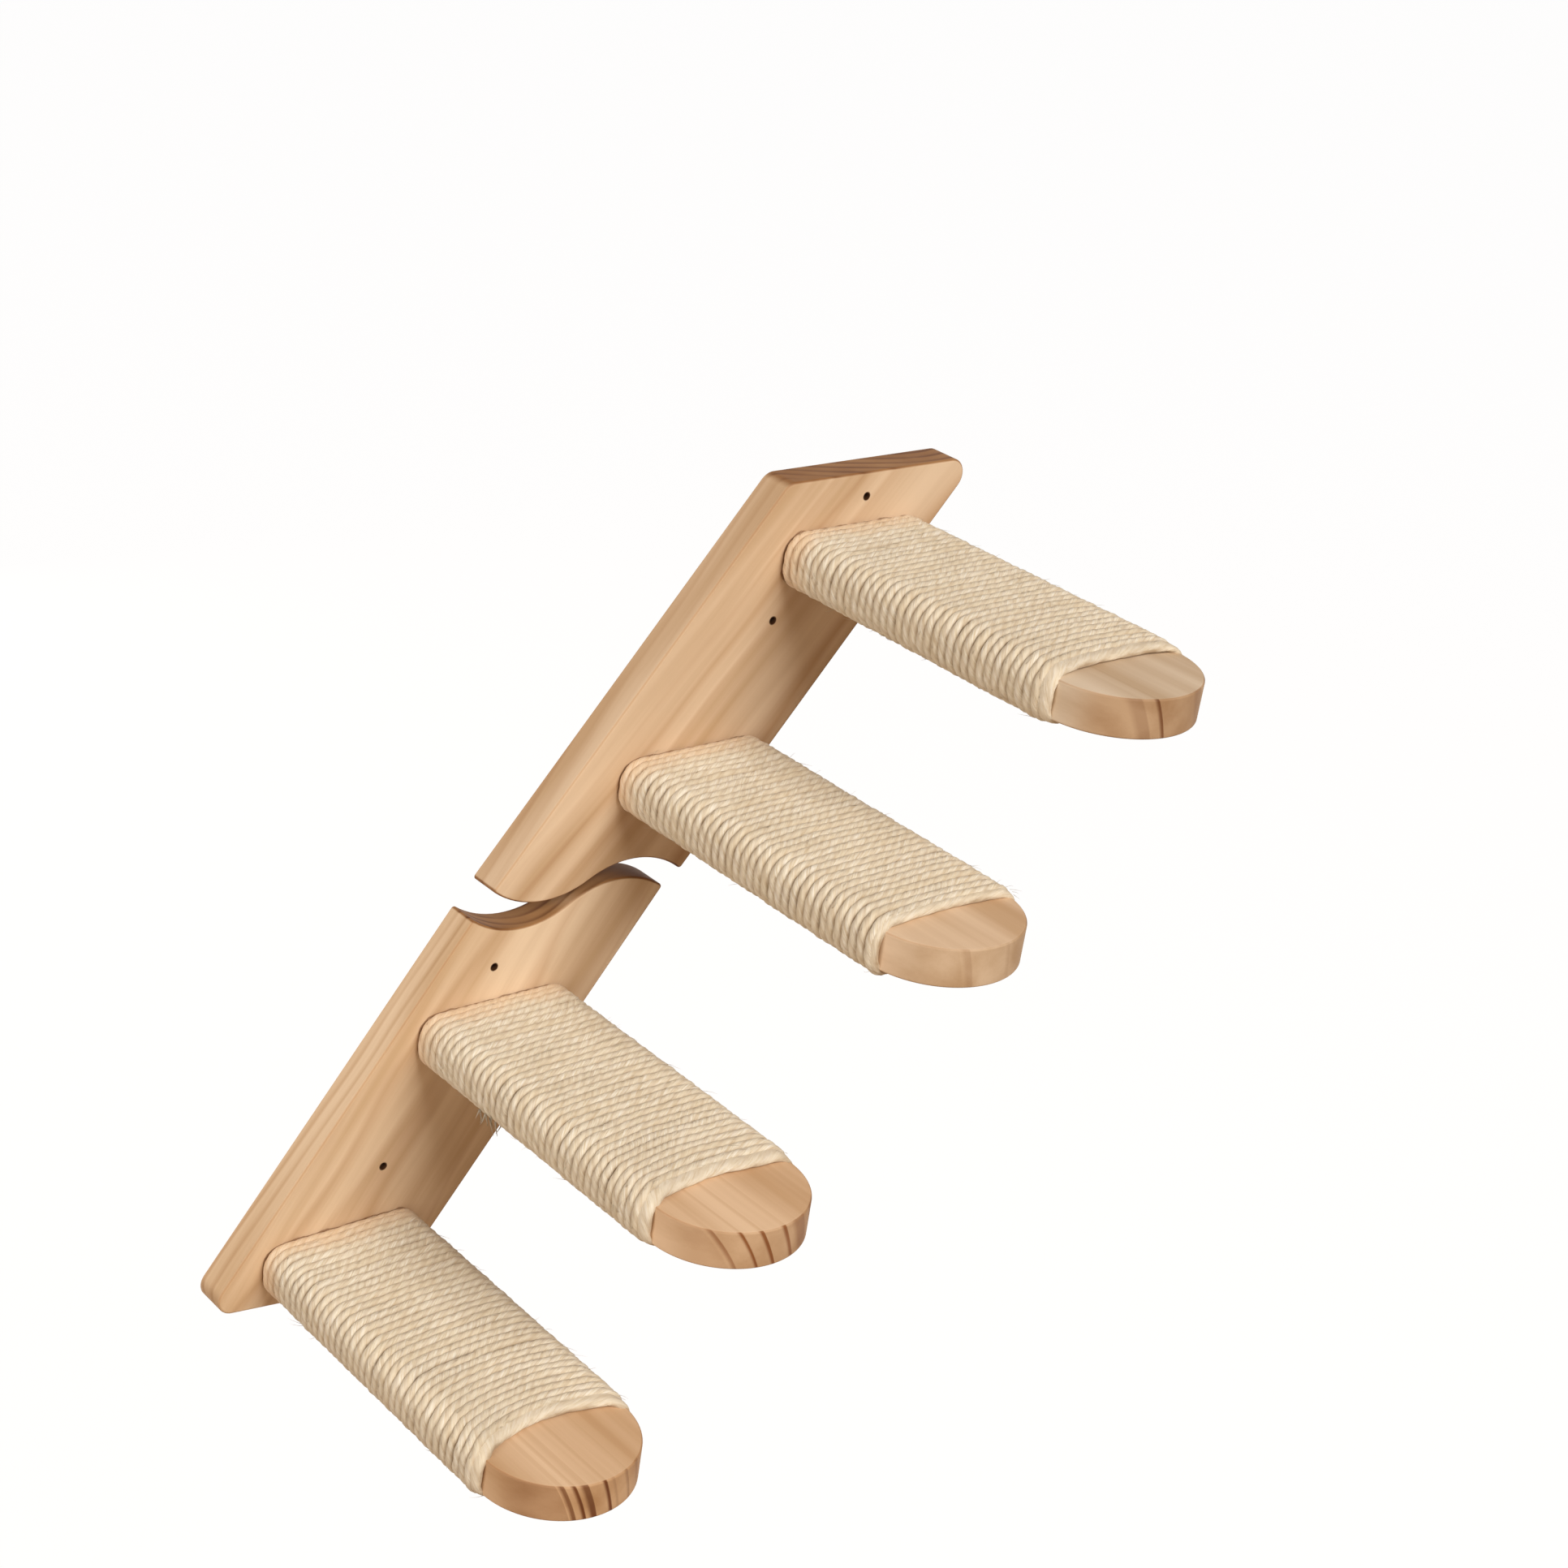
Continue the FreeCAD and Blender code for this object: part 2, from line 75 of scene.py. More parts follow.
def add(tree, kind, inputs=None, stops=None, **settings):
    """A node with its settings. Each input is a value, or the socket that feeds it."""
    made = tree.nodes.new(kind)
    for name, setting in settings.items():
        setattr(made, name, setting)
    for name, given in (inputs or {}).items():
        if isinstance(given, bpy.types.NodeSocket):
            tree.links.new(given, made.inputs[name])
        else:
            made.inputs[name].default_value = given
    if stops:
        ramp = made.color_ramp.elements
        ramp[0].position, ramp[1].position = stops[0][0], stops[-1][0]
        for place, _ in stops[1:-1]:
            ramp.new(place)
        for stop, (_, colour) in zip(ramp, stops):
            stop.color = linear(colour)
    return made


def finish_of(name):
    """A material without nodes, and its node tree."""
    material = bpy.data.materials.new(name)
    material.use_nodes = True
    material.node_tree.nodes.clear()
    return material, material.node_tree


def dress(piece, material):
    """Gives a piece one material."""
    piece.data.materials.clear()
    piece.data.materials.append(material)


def scale_for(width):
    """The scale of a noise texture whose blotches are about this wide."""
    return 0.3 / width


# The wood's colour is multiplied by one of these, in its browner and in its paler bands.
BAND_DEEP = "#ddd0c0"
BAND_PALE = "#ffffff"
# A rounded edge is multiplied by this, and the more the rounder it is: painted shade that tones down the
# highlight on the edge.
EDGE_PAINTED_SHADE = "#dccdbf"
EDGE_STRENGTH = 3.6
# How wide the wood's patterns are: the bends of its grain, the stretches in which a ring is
# darker, its broad and its narrow bands, and its fibres, drawn coarser than real ones.
BEND_WIDTH = 20 * MM
STREAK_WIDTH = 16 * MM
BROAD_WIDTH = 6.6 * MM
NARROW_WIDTH = 2.1 * MM
FIBRE_WIDTH = 0.54 * MM
# How much the narrow bands and the fibres count beside the broad bands.
NARROW_SHARE = 0.22
FIBRE_SHARE = 0.12
# Wood looks much the same for a long way along its grain, so its patterns are drawn out.
ALONG_BEND = 0.4
ALONG_GRAIN = 0.06
ALONG_FIBRE = 0.025
# The end's colour begins and is full where the saw has crossed the fibres at these slants.
CUT_BEGINS = 0.04
CUT_FULL = 0.6
# How much of its darkness an end keeps where it is painted paler, as painted light where light falls on
# it from the side, and how soon that begins.
PALER_END_CUT = 0.2
PALER_END_FADE = 14 * MM
# A height far below the object, for a piece without a paler end.
NO_PALER_END = -1.0
# The line of painted shade, with some grime, round a step's root, in the crease where the rope
# meets the board: the rounded corner that it follows, its outer edge in from there where it is
# narrow and where it is wide, and how softly that edge ends.
ROOT_CORNER = 13 * MM
ROOT_NARROW = 2.0 * MM
ROOT_WIDE = 0.7 * MM
ROOT_EDGE = 0.35 * MM
# How strong the line's painted shade and grime is, and its colour.
ROOT_GRIME_SHADE_STRENGTH = 0.6
ROOT_GRIME_SHADE_COLOUR = "#774721"
# The line grows wider and narrower over about this length.
ROOT_WAVE = 3 * MM
# It lies on the board's face, and fades this far inside it.
ROOT_DEPTH = (0.5 * MM, 1.5 * MM)
# A screw hole's bore, painted dark as painted shade, and how far round it that shade fades out.
BORE_RADIUS = 2.25 * MM
BORE_SHADE_FADE = 0.6 * MM
BORE_SHADE_COLOUR = "#4a2d17"


def pine(name, turn, middle, heart, ring, year, colours, streaks, bend, seed,
         holes=(), roots=(), paler_end_below=NO_PALER_END):
    """Planed pine, matt and close-grained: rings about the tree's heart, cut as the piece lies in it.

    turn brings the grain upright, middle is the piece's own middle and the heart lies beside it.
    ring is how wide a year's growth is, year its shades, and bend how far the grain strays.
    streaks says how weak and how strong the rings are, and how much stronger where the saw cut
    across them. An end that lies below the given height is painted paler: painted light, as where
    light falls on it from the side.
    """
    early, late, end_early, end_late = (linear(colour) for colour in colours)
    material, tree = finish_of(name)
    place = add(tree, "ShaderNodeTexCoord")
    shift = Vector((*heart, 0)) - turn.to_matrix() @ middle
    grain = add(tree, "ShaderNodeMapping", {
        "Vector": place.outputs["Object"], "Rotation": turn, "Location": shift})
    # The grain bends a little on its way.
    slow_way = add(tree, "ShaderNodeVectorMath", {
        0: grain.outputs[0], 1: (1, 1, ALONG_BEND)}, operation="MULTIPLY")
    wander = add(tree, "ShaderNodeTexNoise", {
        "Vector": slow_way.outputs[0], "W": seed + 11, "Scale": scale_for(BEND_WIDTH), "Detail": 1.0},
        noise_dimensions="4D")
    wander = add(tree, "ShaderNodeVectorMath", {
        0: wander.outputs["Color"], 1: (0.5, 0.5, 0.5)}, operation="SUBTRACT")
    wander = add(tree, "ShaderNodeVectorMath", {
        0: wander.outputs[0], 1: (2 * bend, 2 * bend, 0)}, operation="MULTIPLY")
    grain = add(tree, "ShaderNodeVectorMath", {0: grain.outputs[0], 1: wander.outputs[0]})
    long_way = add(tree, "ShaderNodeVectorMath", {
        0: grain.outputs[0], 1: (1, 1, ALONG_GRAIN)}, operation="MULTIPLY")
    fine_way = add(tree, "ShaderNodeVectorMath", {
        0: grain.outputs[0], 1: (1, 1, ALONG_FIBRE)}, operation="MULTIPLY")
    section = add(tree, "ShaderNodeVectorMath", {
        0: grain.outputs[0], 1: (1, 1, 0)}, operation="MULTIPLY")
    distance = add(tree, "ShaderNodeVectorMath", {0: section.outputs[0]}, operation="LENGTH")
    years = add(tree, "ShaderNodeMath", {0: distance.outputs["Value"], 1: ring}, operation="DIVIDE")
    part = add(tree, "ShaderNodeMath", {0: years.outputs[0]}, operation="FRACT")
    part = add(tree, "ShaderNodeValToRGB", {"Fac": part.outputs[0]}, stops=year)
    # Some years are darker than others, and a streak fades along its length.
    strong = add(tree, "ShaderNodeTexNoise", {
        "Vector": long_way.outputs[0], "W": seed + 7, "Scale": scale_for(STREAK_WIDTH), "Detail": 1.0},
        noise_dimensions="4D")
    strong = add(tree, "ShaderNodeMapRange", {
        "Value": strong.outputs[0], "From Min": 0.36, "From Max": 0.66,
        "To Min": streaks[0], "To Max": streaks[1]})
    # Where the fibres are cut across, the wood is darker and its rings are stronger.
    facing = add(tree, "ShaderNodeMapping", {
        "Vector": place.outputs["Normal"], "Rotation": turn}, vector_type="VECTOR")
    facing = add(tree, "ShaderNodeSeparateXYZ", {0: facing.outputs[0]})
    cut = add(tree, "ShaderNodeMath", {0: facing.outputs["Z"]}, operation="ABSOLUTE")
    cut = add(tree, "ShaderNodeMapRange", {
        "Value": cut.outputs[0], "From Min": CUT_BEGINS, "From Max": CUT_FULL},
        interpolation_type="SMOOTHSTEP")
    spot = add(tree, "ShaderNodeSeparateXYZ", {0: place.outputs["Object"]})
    # Below a given height an end keeps less of its darkness: painted light, paler as where light falls on
    # it from the side.
    paler_end = add(tree, "ShaderNodeMapRange", {
        "Value": spot.outputs["Z"], "From Min": paler_end_below, "From Max": paler_end_below + PALER_END_FADE,
        "To Min": PALER_END_CUT, "To Max": 1.0})
    cut = add(tree, "ShaderNodeMath", {0: cut.outputs[0], 1: paler_end.outputs[0]}, operation="MULTIPLY")
    boost = add(tree, "ShaderNodeMath", {0: cut.outputs[0], 1: streaks[2], 2: 1.0},
                operation="MULTIPLY_ADD")
    dark = add(tree, "ShaderNodeMath", {0: part.outputs[0], 1: strong.outputs[0]}, operation="MULTIPLY")
    dark = add(tree, "ShaderNodeMath", {0: dark.outputs[0], 1: boost.outputs[0]},
               operation="MULTIPLY", use_clamp=True)
    side_colour = add(tree, "ShaderNodeMix", {0: dark.outputs[0], 6: early, 7: late}, data_type="RGBA")
    end_colour = add(tree, "ShaderNodeMix", {
        0: dark.outputs[0], 6: end_early, 7: end_late}, data_type="RGBA")
    colour = add(tree, "ShaderNodeMix", {
        0: cut.outputs[0], 6: side_colour.outputs[2], 7: end_colour.outputs[2]}, data_type="RGBA")
    # Broad bands and narrow ones, a little browner or paler, and the fine streaks of the fibres.
    broad = add(tree, "ShaderNodeTexNoise", {
        "Vector": long_way.outputs[0], "W": seed + 3, "Scale": scale_for(BROAD_WIDTH), "Detail": 1.0},
        noise_dimensions="4D")
    narrow = add(tree, "ShaderNodeTexNoise", {
        "Vector": fine_way.outputs[0], "W": seed + 5, "Scale": scale_for(NARROW_WIDTH), "Detail": 1.0},
        noise_dimensions="4D")
    fibre = add(tree, "ShaderNodeTexNoise", {
        "Vector": fine_way.outputs[0], "Scale": scale_for(FIBRE_WIDTH), "Detail": 3.0, "Roughness": 0.6})
    bands = add(tree, "ShaderNodeMath", {0: narrow.outputs[0], 1: NARROW_SHARE, 2: broad.outputs[0]},
                operation="MULTIPLY_ADD")
    bands = add(tree, "ShaderNodeMath", {0: fibre.outputs[0], 1: FIBRE_SHARE, 2: bands.outputs[0]},
                operation="MULTIPLY_ADD")
    bands = add(tree, "ShaderNodeMapRange", {
        "Value": bands.outputs[0], "From Min": 0.5, "From Max": 0.84})
    tint = add(tree, "ShaderNodeMix", {
        0: bands.outputs[0], 6: linear(BAND_DEEP), 7: linear(BAND_PALE)}, data_type="RGBA")
    colour = add(tree, "ShaderNodeMix", {
        0: 1.0, 6: colour.outputs[2], 7: tint.outputs[2]}, data_type="RGBA", blend_type="MULTIPLY")
    # The rounded edges are painted a little browner: painted shade that tones down their highlight.
    rounded = add(tree, "ShaderNodeMath", {
        0: facing.outputs["X"], 1: facing.outputs["Y"]}, operation="MULTIPLY")
    rounded = add(tree, "ShaderNodeMath", {
        0: rounded.outputs[0], 1: rounded.outputs[0]}, operation="MULTIPLY")
    rounded = add(tree, "ShaderNodeMath", {0: rounded.outputs[0], 1: EDGE_STRENGTH}, operation="MULTIPLY")
    colour = add(tree, "ShaderNodeMix", {
        0: rounded.outputs[0], 6: colour.outputs[2], 7: linear(EDGE_PAINTED_SHADE)},
        data_type="RGBA", blend_type="MULTIPLY")
    # A thin brown line runs round the root of each step, in the crease where the rope meets the board's
    # face: painted shade, with some grime.
    wavy = add(tree, "ShaderNodeTexNoise", {
        "Vector": place.outputs["Object"], "Scale": scale_for(ROOT_WAVE), "Detail": 2.0})
    for near, far in roots:
        half = (far - near) / 2 - Vector((ROOT_CORNER, 0, ROOT_CORNER))
        beside = add(tree, "ShaderNodeVectorMath", {
            0: place.outputs["Object"], 1: (near + far) / 2}, operation="SUBTRACT")
        beside = add(tree, "ShaderNodeVectorMath", {0: beside.outputs[0]}, operation="ABSOLUTE")
        beside = add(tree, "ShaderNodeVectorMath", {
            0: beside.outputs[0], 1: (half.x, 0, half.z)}, operation="SUBTRACT")
        beside = add(tree, "ShaderNodeVectorMath", {
            0: beside.outputs[0], 1: (0, 0, 0)}, operation="MAXIMUM")
        beside = add(tree, "ShaderNodeVectorMath", {
            0: beside.outputs[0], 1: (1, 0, 1)}, operation="MULTIPLY")
        beside = add(tree, "ShaderNodeVectorMath", {0: beside.outputs[0]}, operation="LENGTH")
        width = add(tree, "ShaderNodeMapRange", {
            "Value": wavy.outputs[0], "From Min": 0.35, "From Max": 0.65,
            "To Min": ROOT_CORNER - ROOT_NARROW, "To Max": ROOT_CORNER - ROOT_WIDE})
        edge = add(tree, "ShaderNodeMath", {0: width.outputs[0], 1: ROOT_EDGE})
        line = add(tree, "ShaderNodeMapRange", {
            "Value": beside.outputs["Value"], "From Min": width.outputs[0], "From Max": edge.outputs[0],
            "To Min": ROOT_GRIME_SHADE_STRENGTH, "To Max": 0.0})
        face = add(tree, "ShaderNodeMapRange", {
            "Value": spot.outputs["Y"], "From Min": far.y + ROOT_DEPTH[0],
            "From Max": far.y + ROOT_DEPTH[1], "To Min": 1.0, "To Max": 0.0})
        line = add(tree, "ShaderNodeMath", {0: line.outputs[0], 1: face.outputs[0]}, operation="MULTIPLY")
        colour = add(tree, "ShaderNodeMix", {
            0: line.outputs[0], 6: colour.outputs[2], 7: linear(ROOT_GRIME_SHADE_COLOUR)}, data_type="RGBA")
    # The bore of a screw hole is painted dark: painted shade, for a deep hole that holds no light.
    for x, z in holes:
        flat = add(tree, "ShaderNodeVectorMath", {
            0: place.outputs["Object"], 1: (1, 0, 1)}, operation="MULTIPLY")
        away = add(tree, "ShaderNodeVectorMath", {0: flat.outputs[0], 1: (x, 0, z)}, operation="DISTANCE")
        away = add(tree, "ShaderNodeMapRange", {
            "Value": away.outputs["Value"], "From Min": BORE_RADIUS,
            "From Max": BORE_RADIUS + BORE_SHADE_FADE, "To Min": 1.0, "To Max": 0.0})
        colour = add(tree, "ShaderNodeMix", {
            0: away.outputs[0], 6: colour.outputs[2], 7: linear(BORE_SHADE_COLOUR)}, data_type="RGBA")
    ridge = add(tree, "ShaderNodeMath", {0: dark.outputs[0], 1: 0.5, 2: fibre.outputs[0]},
                operation="MULTIPLY_ADD")
    bump = add(tree, "ShaderNodeBump", {
        "Height": ridge.outputs[0], "Strength": 0.35, "Distance": 0.12 * MM})
    rough = add(tree, "ShaderNodeMapRange", {
        "Value": fibre.outputs[0], "To Min": 0.5, "To Max": 0.68})
    shader = add(tree, "ShaderNodeBsdfPrincipled", {
        "Base Color": colour.outputs[2], "Roughness": rough.outputs[0], "IOR": 1.5,
        "Specular IOR Level": 0.2, "Normal": bump.outputs[0]})
    add(tree, "ShaderNodeOutputMaterial", {"Surface": shader.outputs[0]})
    return material


# One year's growth on the flat-sawn boards: it darkens slowly and ends at once.
YEAR_WIDTH = 7.5 * MM
SOFT_YEAR = ((0.0, "#101010"), (0.45, "#606060"), (0.8, "#ffffff"), (1.0, "#101010"))
# The boards were sawn a little aslant to the grain, by these degrees into their thickness.
SAWN_ASLANT = 1.2
# Each board: its lean in degrees, how much its grain strays from that, where the heart of
# its tree lies beside its middle, its screw holes, its steps, its pale and dark colours
# along the grain and then where it is cut across, the height below which its end is painted
# paler as painted light, and its own seed.
BOARDS = {
    "lower_board": (53.4, 2.5, (14 * MM, -88 * MM), ((0, 0), (63.54 * MM, 111.38 * MM)), (1, 2),
                    ("#f0d7b6", "#c69d72", "#a67b4f", "#6c4324"), -56 * MM, 1.0),
    "upper_board": (50.6, -3.0, (-22 * MM, -82 * MM),
                    ((232.95 * MM, 290.15 * MM), (289.71 * MM, 355.47 * MM)), (3, 4),
                    ("#e3c8a7", "#c1976d", "#a67b50", "#693f20"), NO_PALER_END, 21.0),
}
for name, (lean, stray, heart, holes, steps, colours, paler_end_below, seed) in BOARDS.items():
    low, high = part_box(name)
    turn = Euler((math.radians(SAWN_ASLANT), math.radians(lean + stray - 90), 0))
    dress(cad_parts[name], pine(
        f"planed pine of {name}", turn, (low + high) / 2, heart, YEAR_WIDTH, SOFT_YEAR,
        colours, streaks=(0.05, 0.75, 0.8), bend=9 * MM, seed=seed, holes=holes,
        roots=[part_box(f"step_{step}_sisal") for step in steps], paler_end_below=paler_end_below))

# Step planks: pine planks that stand out of the boards, each with a half-round front end.
# Sawn from the same pine with the rings standing nearly upright, so they show as dark
# stripes on the rim, where the saw went across the grain, and as soft streaks on the top.
# All rings of a plank come from one ramp that repeats outward from the heart, and the plank's
# middle lies this many ramps out. In millimetres, a ring darkens over so much on its one
# side, and ends within so much on the other.
MIDDLE_AT = 1.5
RING_RISE = 1.2
RING_EDGE = 0.35
# The grain strays from a plank's length by these degrees.
PLANK_STRAY = 1.0
# Each plank, in millimetres: where the heart of its tree lies beside its middle, its rings
# and broader bands as their places across it, their widths and how dark they are, its pale
# and dark colours along the grain and then on the rim, and its own seed. On planks 1 to 3
# the first and widest band is painted shade, which darkens the left part of the rim.
PLANKS = {
    1: ((150, -45), ((-36.3, 27.0, 0.62), (-20.4, 1.6, 0.9), (-15.3, 1.2, 1.0), (-10.5, 3.0, 0.95),
                     (0, 1.4, 1.0), (5, 1.0, 0.5), (14, 1.4, 0.6), (23, 2.0, 0.5)),
        ("#e4c4a0", "#bb9064", "#caa47c", "#6e3d18"), 41.0),
    2: ((150, -65), ((-38.7, 20.0, 0.35), (-26, 1.0, 0.75), (-16, 0.8, 0.95), (-7, 1.2, 0.95),
                     (5, 1.8, 0.9), (15, 9.0, 0.7), (29, 8.0, 0.75)),
        ("#e6c6a2", "#bd9265", "#c6a480", "#895630"), 57.0),
    3: ((160, -30), ((-35.5, 28.0, 0.3), (-18, 3.0, 0.55), (6, 2.0, 0.45), (33, 9.0, 0.8)),
        ("#e9ceae", "#c49a70", "#ceb393", "#966c48"), 76.0),
    4: ((150, -45), ((-22, 6.0, 0.65), (-12, 1.2, 1.0), (16, 8.0, 0.6), (32, 10.0, 0.8)),
        ("#dfcbb0", "#bfa07c", "#b99977", "#7c5334"), 95.0),
}


def rings_across(middle, rings):
    """The rings of one plank as the stops of its ramp. middle is how far out its middle lies."""
    stops = []
    for place, width, darkness in rings:
        shade = f"{round(255 * darkness):02x}"
        for edge, tone in ((-width / 2 - RING_RISE, "00"), (-width / 4, shade), (width / 2, shade),
                           (width / 2 + RING_EDGE, "00")):
            stops.append(((middle + place + edge) * MIDDLE_AT / middle - 1, "#" + tone * 3))
    return stops


for number, (heart, rings, colours, seed) in PLANKS.items():
    low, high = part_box(f"step_{number}_plank")
    turn = Euler((math.radians(90), math.radians(PLANK_STRAY), 0))
    middle = math.hypot(*heart)
    dress(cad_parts[f"step_{number}_plank"], pine(
        f"planed pine of step {number}", turn, (low + high) / 2, [v * MM for v in heart],
        middle / MIDDLE_AT * MM, rings_across(middle, rings), colours,
        streaks=(0.2, 0.3, 3.4), bend=1 * MM, seed=seed))

# Sisal: one length of three-strand rope wound tightly round each plank, turn beside turn.
# Cream plant fibre, twisted left-handed, dry and a little hairy, with dark lines
# between the turns. Both ends lie on the underside, held by tacks.
ROPE_RADIUS = 2.93 * MM
# A strand goes once round the rope in this length. The lay is tighter and looser by this
# share, over about this length of rope.
ROPE_LAY = 25 * MM
LAY_SPREAD = 0.8
LAY_CHANGE = 36 * MM
# From one turn to the next, and from the plank up to the rope's middle line.
TURN_SPACING = 5.8 * MM
ROPE_LIFT = 2.75 * MM
# The round edges of the plank, and the spacing of the points along the rope.
WINDING_CORNER = 8 * MM
POINT_SPACING = 2.1 * MM
# The first turn stands off the board by this much.
FIRST_GAP = 0.8 * MM
# Crown, shoulder, groove and shoulder of a strand, as shares of the rope's radius.
STRANDS = 3
STRAND_SHARES = (1.0, 0.98, 0.91, 0.98)
# Wound tight, the rope is wider along the plank by this factor.
WOUND_WIDER = 1.08
# How far a turn strays along the plank, with its neighbours and by itself, and up and down.
STRAY_TOGETHER = 1.0 * MM
STRAY_ALONE = 0.9 * MM
STRAY_HEIGHT = 0.4 * MM
STRAY_LENGTH = 28 * MM
# This part of the first turn, and one whole turn at the end, lie square to the plank.
SQUARE_TURNS = 0.8
# So many turns at the end are pressed flat, from a quarter turn on in full, and by this
# share of their height.
FLAT_TURNS = 1.15
FLAT_LOWER = 0.2
# Each winding: how far from the board it ends, how far its middle is drawn back on top,
# and how much wider its last turn is than the others.
WINDINGS = {
    1: (208 * MM, 12 * MM, 0.7),
    2: (206.5 * MM, 6.5 * MM, 0.9),
    3: (213 * MM, 3 * MM, 0.15),
    4: (208.5 * MM, 6 * MM, 0.9),
}
# On the first step two turns have parted on top, at this turn and by so much, and the turns
# after them close up again over so many.
PARTED = {1: (24.5, 1.2 * MM)}
CLOSED_OVER = 5


def rope_section():
    """The rope cut across: its round strands with a groove between them."""
    curve = bpy.data.curves.new("rope_section", "CURVE")
    curve.dimensions = "2D"
    spline = curve.splines.new("POLY")
    steps = STRANDS * len(STRAND_SHARES)
    spline.points.add(steps - 1)
    for i, spot in enumerate(spline.points):
        angle = math.tau * i / steps
        reach = ROPE_RADIUS * STRAND_SHARES[i % len(STRAND_SHARES)]
        spot.co = (reach * math.cos(angle), reach * math.sin(angle), 0, 1)
    spline.use_cyclic_u = True
    section = bpy.data.objects.new("rope_section", curve)
    bpy.context.collection.objects.link(section)
    return section


def round_the_plank(half_width, half_height, lift):
    """How far it is once round the plank, and a function that gives the place at a distance.

    The way starts at the middle of the underside and goes up the right side first.
    """
    w, h, r = half_width - WINDING_CORNER, half_height - WINDING_CORNER, WINDING_CORNER + lift
    corners = ((w, -h, -90, w), (w, h, 0, 2 * h), (-w, h, 90, 2 * w), (-w, -h, 180, 2 * h))
    quarter = math.pi / 2 * r

    def spot_at(gone):
        for x, z, degrees, run in corners:
            angle = math.radians(degrees)
            if gone > run:
                angle += min(gone - run, quarter) / r
            before = max(run - gone, 0)
            out = Vector((math.cos(angle), 0, math.sin(angle)))
            ahead = Vector((-out.z, 0, out.x))
            if gone <= run + quarter:
                return Vector((x, 0, z)) + out * r - ahead * before, out
            gone -= run + quarter
        return Vector((gone - w, 0, -h - r)), -UP

    return 4 * (w + h + quarter), spot_at


def mesh_of(curve, name):
    """The mesh that a curve makes, its ends closed and its faces outward, and the curve taken away."""
    maker = bpy.data.objects.new(name, curve)
    bpy.context.collection.objects.link(maker)
    depsgraph = bpy.context.evaluated_depsgraph_get()
    mesh = bpy.data.meshes.new_from_object(maker.evaluated_get(depsgraph))
    bpy.data.objects.remove(maker)
    form = bmesh.new()
    form.from_mesh(mesh)
    bmesh.ops.holes_fill(form, edges=[edge for edge in form.edges if edge.is_boundary], sides=0)
    bmesh.ops.recalc_face_normals(form, faces=form.faces)
    form.to_mesh(mesh)
    form.free()
    for face in mesh.polygons:
        face.use_smooth = True
    return mesh


def rope_route(number):
    """The rope's middle line round one plank: place, way out, twist and how flat it is pressed."""
    low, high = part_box(f"step_{number}_plank")
    half_width, half_height = (high.x - low.x) / 2, (high.z - low.z) / 2
    middle = Vector(((low.x + high.x) / 2, high.y, (low.z + high.z) / 2))
    once, spot_at = round_the_plank(half_width, half_height, ROPE_LIFT)
    reach, drawn_back, wider = WINDINGS[number]
    parting, parted = PARTED.get(number, (0, 0))
    wound = reach - FIRST_GAP - 2 * ROPE_RADIUS * (1 + wider)
    turns_in_all = round(wound / TURN_SPACING) + 2
    steps = int(turns_in_all * once / POINT_SPACING)
    route = []
    twist = 0.0
    for i in range(steps + 1):
        turns = turns_in_all * i / steps
        spot, out = spot_at((turns % 1) * once)
        round_x, round_z = spot.x / STRAY_LENGTH, spot.z / STRAY_LENGTH
        # Each winding reads its own part of the noise, and each kind of straying does too.
        together = noise.noise((round_x, round_z + 9 * number, turns * 0.2))
        alone = noise.noise((round_x * 1.6, round_z * 1.6 + 31 * number, turns * 1.7))
        height = noise.noise((round_x * 1.3, round_z * 1.3 - 17 * number, turns * 1.3))
        # The first and the last turn lie square to the plank, and the rest follow on.
        share = min(max(turns - SQUARE_TURNS, 0) / (turns_in_all - (SQUARE_TURNS + 1)), 1)
        flat = min(max((turns - turns_in_all + FLAT_TURNS) * 4, 0), 1)
        # On top the later turns bow back toward the board, most in the middle.
        back = drawn_back * share ** 2 * max(out.z, 0)
        back *= math.cos(math.pi / 2 * min(abs(spot.x) / half_width, 1)) ** 0.7
        back -= parted * (turns > parting) * math.exp((parting - turns) / CLOSED_OVER) * max(out.z, 0)
        along = FIRST_GAP + ROPE_RADIUS * (1 + wider * flat) + wound * share - back
        # The tacks hold the rope at its ends, so it strays less there.
        held = min(turns / 2, 1, (turns_in_all - turns) / 1.5 + 0.6)
        along += held * (STRAY_TOGETHER * together + STRAY_ALONE * alone * (0.4 + 2 * alone ** 2))
        place = middle + spot - Vector((0, along, 0)) + out * STRAY_HEIGHT * height * held
        slack = 1 + LAY_SPREAD * noise.noise((i * POINT_SPACING / LAY_CHANGE, 3.3 * number, 0.0))
        twist -= math.tau * POINT_SPACING / (ROPE_LAY * slack * (1 + flat))
        route.append((place, out, twist % math.tau, flat))
    return route


# Fibres that have worked loose: how many on a winding, how thick and how long they are, and
# how far they stand off at most.
FIBRES = 460
FIBRE_RADIUS = 0.1 * MM
FIBRE_LENGTHS = (3 * MM, 8 * MM)
FIBRE_RISE = 1.5 * MM
# On the second step a tuft of so many strands has frayed out of the lower left edge, between
# these two distances from the board. They are this much thicker than a fibre, this long,
# and curl by so much.
TUFT = {2: (12, 56 * MM, 69 * MM)}
TUFT_THICKER = 5.0
TUFT_LENGTHS = (5, 11)
TUFT_CURL = 3 * MM
# The places along a fibre where its points lie.
FIBRE_POINTS = (0, 0.33, 0.67, 1)


